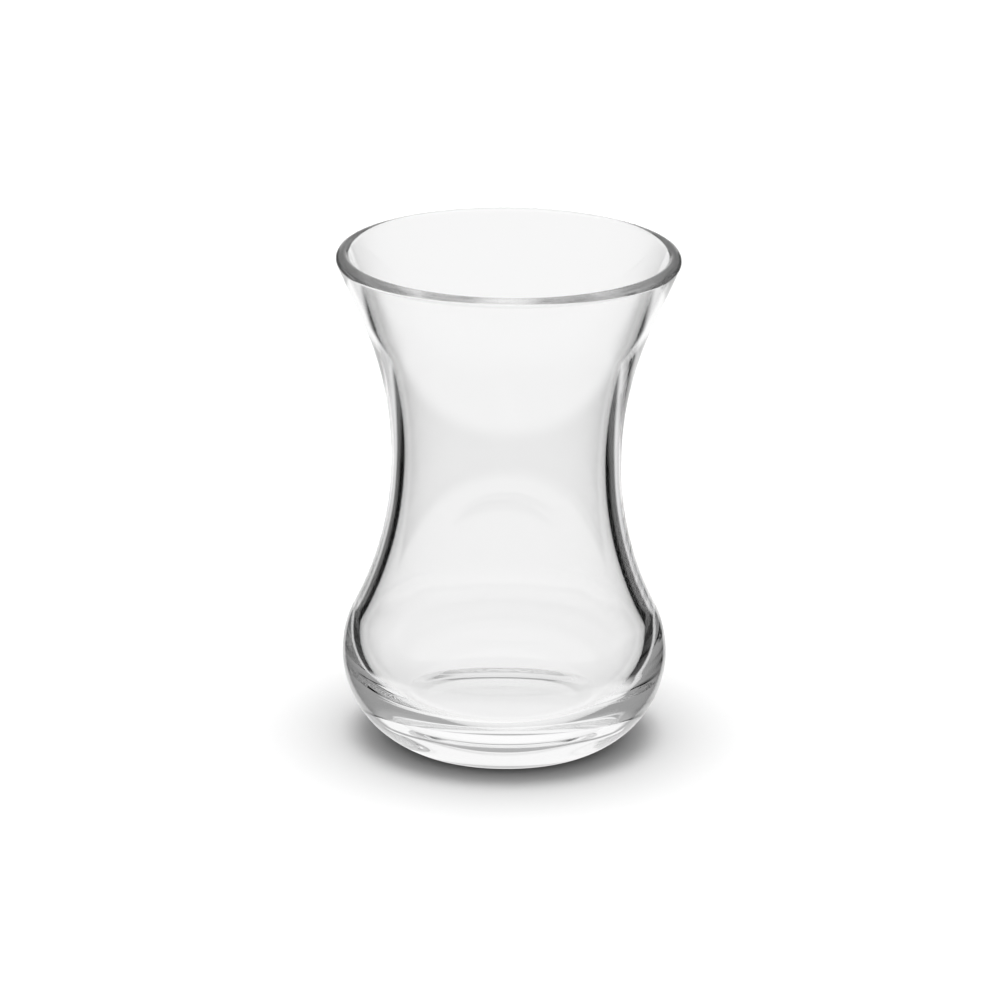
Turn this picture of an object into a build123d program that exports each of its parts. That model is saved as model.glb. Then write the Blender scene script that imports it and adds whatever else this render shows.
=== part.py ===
from build123d import *
import os
from math import asin, atan, atan2, cos, degrees, sin, sqrt

# Turkish tea glass (ince belli): one piece of clear glass, a tulip turned about the Z axis.
# Millimetres, +Z up, origin at the centre of the foot, on the surface that the glass stands on.

# Outside
height = 93.2            # foot to the top of the lip
rim_radius = 31.5        # outermost point of the lip
waist_radius = 21.2      # narrowest point
waist_height = 53.7
belly_radius = 30.2      # widest point of the belly
belly_height = 16.2
belly_curve = 18.0       # arc of the belly, which runs down to the foot
flare_straight = 11.5    # straight wall between the arc of the flare and the lip

# Underside
foot_curve = 2.5         # rounded outer edge of the foot
foot_width = 1.2         # flat ring that the glass rests on
punt_edge_curve = 20.0   # rounded inner edge of the ring
punt_depth = 0.5         # how far the middle of the underside is pushed up

# Wall, lip and base
lip_thickness = 2.5      # fire-polished round edge
waist_wall = 2.6         # at the narrowest point
inner_straight = 17.0    # straight wall inside, below the lip
belly_wall = 3.4         # at the widest point
base_thickness = 5.1     # at the axis, from the foot's plane to the floor of the cup
cup_curve = 11.4         # arc between the inside wall and the floor
floor_curve = 85.0       # shallow dish of the floor


def waist_arc_radius(waist, belly, curve, rise):
    """Radius of the arc that is upright at the waist and tangent to the belly's arc.

    The belly's arc has radius curve, reaches out to belly, and its centre lies rise below the waist.
    """
    offset = waist - belly + curve
    return (offset**2 + rise**2 - curve**2) / (2 * (belly - waist))


def wall_lean(spread, rise, straight):
    """Lean from upright, in radians, of the straight wall between the flare's arc and the lip.

    The arc is upright at the waist. The lip's edge lies spread further out and its centre rise
    higher, and the two tangents of the arc are equally long, which fixes half of the lean.
    """
    return 2 * atan(spread / (rise + straight))


def flare_radius(lean, rise, straight, edge):
    """Radius of the arc that turns from upright at the waist to the lean of the straight wall.

    The straight wall meets the lip's bead edge outside of its centre, or inside if edge is negative.
    """
    return (rise - straight * cos(lean) - edge * sin(lean)) / sin(lean)


# Lip: a round bead
lip_radius = lip_thickness / 2
lip_centre = Vector(rim_radius - lip_radius, height - lip_radius)

# Flare: an arc outside and one inside, each upright at the waist and running straight into the lip
inner_waist = waist_radius - waist_wall
flare_rise = lip_centre.Y - waist_height
outer_lean = wall_lean(rim_radius - waist_radius, flare_rise, flare_straight)
inner_lean = wall_lean(rim_radius - lip_thickness - inner_waist, flare_rise, inner_straight)
flare_curve = flare_radius(outer_lean, flare_rise, flare_straight, lip_radius)
inner_flare_curve = flare_radius(inner_lean, flare_rise, inner_straight, -lip_radius)
flare_centre = Vector(waist_radius + flare_curve, waist_height)
inner_flare_centre = Vector(inner_waist + inner_flare_curve, waist_height)

# Belly outside
belly_centre = Vector(belly_radius - belly_curve, belly_height)
outer_rise = waist_height - belly_height
outer_waist_curve = waist_arc_radius(waist_radius, belly_radius, belly_curve, outer_rise)
outer_turn = asin(outer_rise / (outer_waist_curve + belly_curve))

# Foot: its rounded edge runs from the belly's arc into the standing surface
foot_drop = belly_height - foot_curve
foot_radius = belly_centre.X + sqrt((belly_curve - foot_curve) ** 2 - foot_drop**2)
foot_turn = atan2(foot_drop, foot_radius - belly_centre.X)

# Cup inside: its arc runs into the dished floor
inner_belly = belly_radius - belly_wall
floor_centre = Vector(0, base_thickness + floor_curve)
cup_x = inner_belly - cup_curve
cup_drop = sqrt((floor_curve - cup_curve) ** 2 - cup_x**2)
cup_centre = Vector(cup_x, floor_centre.Y - cup_drop)
inner_rise = waist_height - cup_centre.Y
inner_waist_curve = waist_arc_radius(inner_waist, inner_belly, cup_curve, inner_rise)
inner_turn = asin(inner_rise / (inner_waist_curve + cup_curve))
floor_turn = atan2(cup_x, cup_drop)

# Punt: two arcs that turn equally far, one rising from the ring and one level at the axis
punt_radius = foot_radius - foot_width
punt_turn = 2 * atan(punt_depth / punt_radius)
punt_curve = punt_radius / sin(punt_turn) - punt_edge_curve

# One closed outline in the XZ plane: up the outside, over the lip and down the inside
with BuildPart() as glass:
    with BuildSketch(Plane.XZ) as section:
        with BuildLine() as outline:
            punt = CenterArc((0, punt_depth - punt_curve), punt_curve, 90, -degrees(punt_turn))
            edge_centre = (punt_radius, punt_edge_curve)
            CenterArc(edge_centre, punt_edge_curve, -90 - degrees(punt_turn), degrees(punt_turn))
            Line((punt_radius, 0), (foot_radius, 0))
            CenterArc((foot_radius, foot_curve), foot_curve, -90, 90 - degrees(foot_turn))
            CenterArc(belly_centre, belly_curve, -degrees(foot_turn), degrees(foot_turn + outer_turn))
            outer_waist_centre = (waist_radius + outer_waist_curve, waist_height)
            waist_start = 180 + degrees(outer_turn)
            CenterArc(outer_waist_centre, outer_waist_curve, waist_start, -degrees(outer_turn))
            outer_flare = CenterArc(flare_centre, flare_curve, 180, -degrees(outer_lean))
            bead_sweep = 180 - degrees(inner_lean) + degrees(outer_lean)
            bead = CenterArc(lip_centre, lip_radius, -degrees(outer_lean), bead_sweep)
            Line(outer_flare @ 1, bead @ 0)
            inner_flare = CenterArc(
                inner_flare_centre, inner_flare_curve, 180 - degrees(inner_lean), degrees(inner_lean)
            )
            Line(bead @ 1, inner_flare @ 0)
            inner_waist_centre = (inner_waist + inner_waist_curve, waist_height)
            CenterArc(inner_waist_centre, inner_waist_curve, 180, degrees(inner_turn))
            cup_sweep = 90 + degrees(inner_turn) - degrees(floor_turn)
            cup = CenterArc(cup_centre, cup_curve, degrees(inner_turn), -cup_sweep)
            floor = CenterArc(floor_centre, floor_curve, -90 + degrees(floor_turn), -degrees(floor_turn))
            Line(floor @ 1, punt @ 0)
        make_face()
    revolve(axis=Axis.Z)

glass.part.label = "glass"

os.makedirs("parts", exist_ok=True)
export_step(glass.part, "parts/glass.step")
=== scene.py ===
import bpy
import numpy as np
from math import asin, atan, atan2, cos, pi, radians, sin, sqrt
from mathutils import Matrix, Vector


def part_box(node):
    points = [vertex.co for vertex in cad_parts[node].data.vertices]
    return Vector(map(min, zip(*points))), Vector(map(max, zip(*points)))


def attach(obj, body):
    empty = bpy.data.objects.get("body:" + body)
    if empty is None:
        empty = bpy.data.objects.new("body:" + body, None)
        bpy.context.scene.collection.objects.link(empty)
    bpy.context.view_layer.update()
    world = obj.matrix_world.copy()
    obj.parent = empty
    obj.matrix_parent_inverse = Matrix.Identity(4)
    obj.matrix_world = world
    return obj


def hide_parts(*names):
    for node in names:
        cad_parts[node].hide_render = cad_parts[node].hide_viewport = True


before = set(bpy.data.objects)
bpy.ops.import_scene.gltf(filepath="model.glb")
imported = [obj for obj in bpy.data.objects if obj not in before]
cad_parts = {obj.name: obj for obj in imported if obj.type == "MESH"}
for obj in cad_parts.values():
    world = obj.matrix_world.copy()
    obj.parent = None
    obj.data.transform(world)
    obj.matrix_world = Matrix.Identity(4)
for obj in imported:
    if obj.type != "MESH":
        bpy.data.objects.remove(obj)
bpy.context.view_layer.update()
scene = bpy.context.scene


# ---- The glass ---------------------------------------------------------------------------
# A tulip-shaped tea glass of clear soda-lime glass, pressed and blown in a turning mould, so
# that every level is a circle. Its lip is melted round in a flame. The wall thickens from the
# lip down to the belly and runs into a thick base, which bends the light into lines and rings.

MM = 0.001
foot_corner, rim_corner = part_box("glass")
height = (rim_corner.z - foot_corner.z) / MM
rim_radius = (rim_corner.x - foot_corner.x) / 2 / MM
waist_radius = 21.2
waist_height = 53.7
belly_radius = 30.2
belly_height = 16.2      # level of the widest point
belly_curve = 18.0       # arc of the belly, which runs down towards the foot
flare_straight = 11.5    # straight wall between the arc of the flare and the lip
foot_curve = 2.5         # rounded outer edge of the foot
foot_width = 1.2         # flat ring that the glass rests on
punt_edge_curve = 20.0   # rounded inner edge of the ring
punt_depth = 0.5         # how far the middle of the underside is pushed up
lip_thickness = 2.5
waist_wall = 2.6
inner_straight = 17.0
belly_wall = 3.4
base_thickness = 5.1     # at the axis, from the foot's plane to the floor of the cup
cup_curve = 11.4         # arc between the inside wall and the floor
floor_curve = 85.0       # shallow dish of the floor
wall_drift = 0.32        # how far the inside of the belly is off the outside's axis
drift_angle = radians(112.5)
AROUND = 320             # points round each level
SHORTEST = 1e-4          # points nearer than this are one
GLASS_INDEX = 1.52
WAVES = 55.0             # in a metre, so one wave in about 18 mm
WAVE_STRENGTH = 0.02


def arc_points(centre, radius, start, sweep, step):
    """Points of the profile along an arc, about a step apart, as (radius, height) pairs."""
    count = max(2, int(abs(sweep) * radius / step))
    turn = start + sweep * np.linspace(0, 1, count + 1)
    return np.column_stack((centre[0] + radius * np.cos(turn), centre[1] + radius * np.sin(turn)))


def wall_lean(spread, rise, straight):
    """Lean of the straight wall under the lip.

    The two tangents of the flare's arc are equally long, which gives twice the arctangent of
    the spread over the rise and the straight length together.
    """
    return 2 * atan(spread / (rise + straight))


def flare_radius(lean, rise, straight, edge):
    """Radius of the arc that turns from upright at the waist to the lean of the straight wall."""
    return (rise - straight * cos(lean) - edge * sin(lean)) / sin(lean)


def waist_arc_radius(waist, belly, curve, rise):
    """Radius of the arc that is upright at the waist and tangent to the belly's arc."""
    offset = waist - belly + curve
    return (offset**2 + rise**2 - curve**2) / (2 * (belly - waist))


def glass_profile():
    """Outline of the glass from the axis at the underside, round the lip, to the axis inside.

    It is a chain of arcs, each tangent to the next: punt, foot, belly, waist, flare and lip
    outside, then flare, waist, cup and floor inside. The second array says how much of the
    wall's drift each point takes: none outside and at the lip, all of it inside the belly.
    """
    lip = lip_thickness / 2
    lip_centre = (rim_radius - lip, height - lip)
    inner_waist = waist_radius - waist_wall
    flare_rise = lip_centre[1] - waist_height
    outer_lean = wall_lean(rim_radius - waist_radius, flare_rise, flare_straight)
    inner_lean = wall_lean(rim_radius - lip_thickness - inner_waist, flare_rise, inner_straight)
    outer_flare = flare_radius(outer_lean, flare_rise, flare_straight, lip)
    inner_flare = flare_radius(inner_lean, flare_rise, inner_straight, -lip)

    belly_centre = (belly_radius - belly_curve, belly_height)
    rise = waist_height - belly_height
    outer_curve = waist_arc_radius(waist_radius, belly_radius, belly_curve, rise)
    outer_turn = asin(rise / (outer_curve + belly_curve))

    foot_drop = belly_height - foot_curve
    foot_x = belly_centre[0] + sqrt((belly_curve - foot_curve) ** 2 - foot_drop**2)
    foot_turn = atan2(-foot_drop, foot_x - belly_centre[0])
    ring_x = foot_x - foot_width
    punt_turn = 2 * atan(punt_depth / ring_x)
    punt_curve = ring_x / sin(punt_turn) - punt_edge_curve

    floor_top = base_thickness + floor_curve
    cup_x = belly_radius - belly_wall - cup_curve
    drop = sqrt((floor_curve - cup_curve) ** 2 - cup_x**2)
    cup_centre = (cup_x, floor_top - drop)
    inner_rise = waist_height - cup_centre[1]
    inner_curve = waist_arc_radius(inner_waist, belly_radius - belly_wall, cup_curve, inner_rise)
    inner_turn = asin(inner_rise / (inner_curve + cup_curve))
    floor_turn = atan2(cup_x, drop)

    outer_waist_centre = (waist_radius + outer_curve, waist_height)
    outer_flare_centre = (waist_radius + outer_flare, waist_height)
    inner_waist_centre = (inner_waist + inner_curve, waist_height)
    inner_flare_centre = (inner_waist + inner_flare, waist_height)
    outside = [
        arc_points((0, punt_depth - punt_curve), punt_curve, pi / 2, -punt_turn, 0.8),
        arc_points((ring_x, punt_edge_curve), punt_edge_curve, -pi / 2 - punt_turn, punt_turn, 0.3),
        arc_points((foot_x, foot_curve), foot_curve, -pi / 2, pi / 2 + foot_turn, 0.2),
        arc_points(belly_centre, belly_curve, foot_turn, outer_turn - foot_turn, 0.5),
        arc_points(outer_waist_centre, outer_curve, pi + outer_turn, -outer_turn, 0.9),
        arc_points(outer_flare_centre, outer_flare, pi, -outer_lean, 0.9),
        arc_points(lip_centre, lip, -outer_lean, pi - inner_lean + outer_lean, 0.16),
    ]
    inside = [
        arc_points(inner_flare_centre, inner_flare, pi - inner_lean, inner_lean, 0.9),
        arc_points(inner_waist_centre, inner_curve, pi, inner_turn, 0.9),
        arc_points(cup_centre, cup_curve, inner_turn, floor_turn - pi / 2 - inner_turn, 0.4),
        arc_points((0, floor_top), floor_curve, floor_turn - pi / 2, -floor_turn, 1.0),
    ]
    points = np.concatenate(outside + inside)
    drift = np.zeros(len(points))
    inner = slice(sum(map(len, outside)), None)
    level = points[inner, 1]
    fade_top = np.clip((height - level) / (height - belly_height), 0, 1)
    fade_floor = np.clip((level - base_thickness) / (belly_height - base_thickness), 0, 1)
    drift[inner] = fade_top * fade_floor
    step = np.hypot(*np.diff(points, axis=0).T)
    keep = np.concatenate(([True], step > SHORTEST))
    return points[keep], drift[keep]


def turned_mesh(name, profile, drift):
    """A profile carried once round the Z axis, closed by a fan of triangles at each pole.

    A point of the profile at radius r and height z goes to (r cos t, r sin t, z) for each
    turn t, shifted sideways by its share of the wall's drift.
    """
    turn = np.linspace(0, 2 * pi, AROUND, endpoint=False)
    ring = profile[1:-1]
    shift = wall_drift * drift[1:-1, None]
    x = ring[:, 0, None] * np.cos(turn) + shift * cos(drift_angle)
    y = ring[:, 0, None] * np.sin(turn) + shift * sin(drift_angle)
    z = np.broadcast_to(ring[:, 1, None], x.shape)
    body = np.stack((x, y, z), axis=-1).reshape(-1, 3)
    poles = np.array([[0, 0, profile[0, 1]], [0, 0, profile[-1, 1]]])
    points = np.concatenate((body, poles)) * MM
    rows = len(ring)
    index = np.arange(rows * AROUND).reshape(rows, AROUND)
    beside = np.roll(index, -1, axis=1)
    quads = np.stack((index[:-1], beside[:-1], beside[1:], index[1:]), axis=-1).reshape(-1, 4)
    low_pole = np.stack((np.full(AROUND, rows * AROUND), beside[0], index[0]), axis=-1)
    high_pole = np.stack((np.full(AROUND, rows * AROUND + 1), index[-1], beside[-1]), axis=-1)
    mesh = bpy.data.meshes.new(name)
    mesh.from_pydata(points, [], quads.tolist() + low_pole.tolist() + high_pole.tolist())
    mesh.polygons.foreach_set("use_smooth", np.ones(len(mesh.polygons), dtype=bool))
    mesh.update()
    return mesh


def srgb(code):
    """Linear colour of an sRGB hex code, as a shader socket takes it."""
    parts = np.array([int(code[i : i + 2], 16) for i in (1, 3, 5)]) / 255
    linear = np.where(parts <= 0.04045, parts / 12.92, ((parts + 0.055) / 1.055) ** 2.4)
    return (*linear, 1.0)


def add_node(tree, kind, settings, inputs):
    """Adds one shader node. inputs gives a value or another node's socket for each input."""
    node = tree.nodes.new(kind)
    for key, value in settings.items():
        setattr(node, key, value)
    for key, value in inputs.items():
        if isinstance(value, bpy.types.NodeSocket):
            tree.links.new(value, node.inputs[key])
        else:
            node.inputs[key].default_value = value
    return node.outputs


def clear_glass():
    """Soda-lime glass, blown and fire-polished: mirror-smooth, with a faint slow waviness.

    The eye gets sharp bent lines, a slightly grey body, and lines that are not quite even.
    """
    material = bpy.data.materials.new("clear_soda_lime_glass")
    material.use_nodes = True
    tree = material.node_tree
    tree.nodes.clear()
    place = add_node(tree, "ShaderNodeTexCoord", {}, {})["Object"]
    noise = {"Vector": place, "Scale": WAVES, "Detail": 1.0}
    waves = add_node(tree, "ShaderNodeTexNoise", {}, noise)
    bump = {"Strength": WAVE_STRENGTH, "Distance": MM, "Height": waves[0]}
    relief = add_node(tree, "ShaderNodeBump", {}, bump)
    glass_shader = add_node(
        tree,
        "ShaderNodeBsdfPrincipled",
        {},
        {
            "Base Color": srgb("#FDFDFD"),
            "Roughness": 0.0,
            "IOR": GLASS_INDEX,
            "Transmission Weight": 1.0,
            "Normal": relief["Normal"],
        },
    )
    add_node(tree, "ShaderNodeOutputMaterial", {}, {"Surface": glass_shader["BSDF"]})
    return material


glass_outline, glass_drift = glass_profile()
glass = bpy.data.objects.new("tea_glass", turned_mesh("tea_glass", glass_outline, glass_drift))
scene.collection.objects.link(glass)
glass.data.materials.append(clear_glass())
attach(glass, "root")
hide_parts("glass")


# ---- The table ---------------------------------------------------------------------------
# A plain sheet of matt white paper. It takes the glass's soft shadow. Light that the glass
# bends or mirrors towards the eye passes the sheet and shows the studio below it, so the
# sheet has no edge inside the glass.

SWEEP_RADIUS = 8.0               # metres
SWEEP_DROP = 0.00002             # metres under the foot
SWEEP_SIDES = 96
NONE_YET = 0.5                   # a ray's count of bounces lies below this before the first


def white_paper():
    """Matt white paper, which rays bent or mirrored by the glass on their way from the eye pass."""
    material = bpy.data.materials.new("white_paper_sweep")
    material.use_nodes = True
    tree = material.node_tree
    tree.nodes.clear()
    paper = add_node(tree, "ShaderNodeBsdfDiffuse", {}, {"Color": srgb("#FFFFFF")})
    path = add_node(tree, "ShaderNodeLightPath", {}, {})
    seen_in = {0: path["Is Glossy Ray"], 1: path["Is Transmission Ray"]}
    seen_in_glass = add_node(tree, "ShaderNodeMath", {"operation": "MAXIMUM"}, seen_in)
    unscattered = {0: path["Diffuse Depth"], 1: NONE_YET}
    from_eye = add_node(tree, "ShaderNodeMath", {"operation": "LESS_THAN"}, unscattered)
    both = {0: seen_in_glass[0], 1: from_eye[0]}
    passing = add_node(tree, "ShaderNodeMath", {"operation": "MULTIPLY"}, both)
    through = add_node(tree, "ShaderNodeBsdfTransparent", {}, {})
    layers = {0: passing[0], 1: paper["BSDF"], 2: through["BSDF"]}
    sheet = add_node(tree, "ShaderNodeMixShader", {}, layers)
    add_node(tree, "ShaderNodeOutputMaterial", {}, {"Surface": sheet["Shader"]})
    return material


sweep_turn = np.linspace(0, 2 * pi, SWEEP_SIDES, endpoint=False)
sweep_edge = np.column_stack((SWEEP_RADIUS * np.cos(sweep_turn), SWEEP_RADIUS * np.sin(sweep_turn)))
sweep_points = np.column_stack((sweep_edge, np.full(len(sweep_edge), -SWEEP_DROP)))
sweep_mesh = bpy.data.meshes.new("sweep")
sweep_mesh.from_pydata(sweep_points, [], [list(range(len(sweep_points)))])
sweep = bpy.data.objects.new("sweep", sweep_mesh)
sweep.data.materials.append(white_paper())
scene.collection.objects.link(sweep)


# ---- The studio --------------------------------------------------------------------------
# Plain white where it is seen straight or bent by the glass. What the glass mirrors, inside
# its walls too, shows a white board behind it with black flags on both sides, a grey room
# above, a bright table and a large soft box overhead. The flags draw the dark edges of clear
# glass. All of it lights the table, and so does a lamp that shows in no reflection.

MAIN_BOARD = 292.5               # direction that the board stands in, round from +Y towards -X
BOARD_HALF = 13.3                # half width at level
BOARD_WIDENING = 0.64            # degrees of half width for each degree below level
BOARD_SOFT = 4.0                 # its sides fade over this many degrees each way
BOARD_TOP = 13.0
BOARD_TOP_SOFT = 16.0
FLAG = 0.003                     # black felt
ROOM = 0.37
ROOM_ANGLE = 5.4                 # the flags give way to the room here
ROOM_SOFT = 6.6
TABLE_ANGLE = -39.0              # lower than this the table fills the view
TABLE_SOFT = 3.0
BOX_ANGLE = 40.0                 # the soft box starts here
BOX_SOFT = 6.0
BOX_LEVEL = 0.95
LAMP_ANGLE = 70.0
LAMP_SOFT = 4.0
LAMP_LEVEL = 5.5


def studio_world():
    """White for a ray from the eye that nothing has mirrored; otherwise what stands there.

    That is the brightest of board, room, table and soft box, and for the light that falls on
    the table also the lamp. Each is a smooth step over the ray's climb, or over its angle
    away from the board.
    """
    world = bpy.data.worlds.new("white_studio")
    scene.world = world
    world.use_nodes = True
    tree = world.node_tree
    tree.nodes.clear()
    way = add_node(tree, "ShaderNodeTexCoord", {}, {})["Generated"]
    part = add_node(tree, "ShaderNodeSeparateXYZ", {}, {"Vector": way})
    level_way = add_node(tree, "ShaderNodeCombineXYZ", {}, {"X": part["X"], "Y": part["Y"]})
    flat = {"operation": "NORMALIZE"}
    round_way = add_node(tree, "ShaderNodeVectorMath", flat, {0: level_way["Vector"]})[0]
    board_way = (-sin(radians(MAIN_BOARD)), cos(radians(MAIN_BOARD)), 0.0)
    product = {"operation": "DOT_PRODUCT"}
    along = add_node(tree, "ShaderNodeVectorMath", product, {0: round_way, 1: board_way})

    def sum_of(operation, first, second=0.0, third=0.0):
        """One sum of up to three values or sockets."""
        terms = {0: first, 1: second, 2: third}
        return add_node(tree, "ShaderNodeMath", {"operation": operation}, terms)[0]

    def fade(value, edge, soft, low=0.0, high=1.0):
        """Goes smoothly from low to high over soft degrees on both sides of edge.

        With soft negative it starts high and ends low.
        """
        span = {"From Min": radians(edge - soft), "From Max": radians(edge + soft)}
        smooth = {"interpolation_type": "SMOOTHSTEP"}
        inputs = {"Value": value, **span, "To Min": low, "To Max": high}
        return add_node(tree, "ShaderNodeMapRange", smooth, inputs)["Result"]

    climb = sum_of("ARCSINE", part["Z"])
    away = sum_of("ARCCOSINE", along["Value"])
    below = sum_of("MINIMUM", climb, 0.0)
    board_away = sum_of("MULTIPLY_ADD", below, BOARD_WIDENING, away)
    board_side = fade(board_away, BOARD_HALF, -BOARD_SOFT)
    board = sum_of("MULTIPLY", board_side, fade(climb, BOARD_TOP, -BOARD_TOP_SOFT))
    room = fade(climb, ROOM_ANGLE, ROOM_SOFT, FLAG, ROOM)
    table = fade(climb, TABLE_ANGLE, -TABLE_SOFT)
    box = fade(climb, BOX_ANGLE, BOX_SOFT, 0.0, BOX_LEVEL)
    lamp = fade(climb, LAMP_ANGLE, LAMP_SOFT, 0.0, LAMP_LEVEL)
    path = add_node(tree, "ShaderNodeLightPath", {}, {})
    lamp_on_table = sum_of("MULTIPLY", lamp, sum_of("MINIMUM", path["Diffuse Depth"], 1.0))
    brightest = board
    for other in (room, table, box, lamp_on_table):
        brightest = sum_of("MAXIMUM", brightest, other)

    unmirrored = sum_of("LESS_THAN", path["Glossy Depth"], NONE_YET)
    from_eye = sum_of("LESS_THAN", path["Diffuse Depth"], NONE_YET)
    plain = sum_of("MULTIPLY", unmirrored, from_eye)
    levels = {0: plain, 2: brightest, 3: 1.0}
    level = add_node(tree, "ShaderNodeMix", {"data_type": "FLOAT"}, levels)[0]
    white = {"Color": srgb("#FFFFFF"), "Strength": level}
    light = add_node(tree, "ShaderNodeBackground", {}, white)
    add_node(tree, "ShaderNodeOutputWorld", {}, {"Surface": light["Background"]})


studio_world()


# ---- The camera --------------------------------------------------------------------------
# It looks down on the glass at about nineteen degrees, from across the table from the board.
# Light goes round in the walls many times, so that many bounces are needed before the rim and
# the base are lit. Light focused on the table is left out, which keeps the shadow dark.

CAMERA_DISTANCE = 0.9
CAMERA_CLIMB = radians(18.69)
CAMERA_ROLL = radians(0.65)
CAMERA_TURN = radians(MAIN_BOARD)
LOOK_HEIGHT = 0.0455
LOOK_ASIDE = -0.0011
VIEW_WIDTH = 0.18495             # metres across the frame at the glass
BOUNCES = 96

camera = bpy.data.objects.new("camera", bpy.data.cameras.new("camera"))
scene.collection.objects.link(camera)
scene.camera = camera
camera.data.sensor_width = 36.0
camera.data.lens = camera.data.sensor_width * CAMERA_DISTANCE / VIEW_WIDTH
camera.data.clip_start = 0.05
camera.data.clip_end = 50.0
level_reach = cos(CAMERA_CLIMB)
back = Vector((sin(CAMERA_TURN) * level_reach, -cos(CAMERA_TURN) * level_reach, sin(CAMERA_CLIMB)))
side = Vector((cos(CAMERA_TURN), sin(CAMERA_TURN), 0))
target = Vector((0, 0, LOOK_HEIGHT)) + side * LOOK_ASIDE
camera.rotation_mode = "QUATERNION"
camera.location = target + back * CAMERA_DISTANCE
facing = (-back).to_track_quat("-Z", "Y").to_matrix()
camera.rotation_quaternion = (facing @ Matrix.Rotation(CAMERA_ROLL, 3, "Z")).to_quaternion()

scene.view_settings.view_transform = "Standard"
scene.cycles.max_bounces = BOUNCES
scene.cycles.transmission_bounces = BOUNCES
scene.cycles.glossy_bounces = BOUNCES
scene.cycles.caustics_refractive = False
scene.cycles.caustics_reflective = False
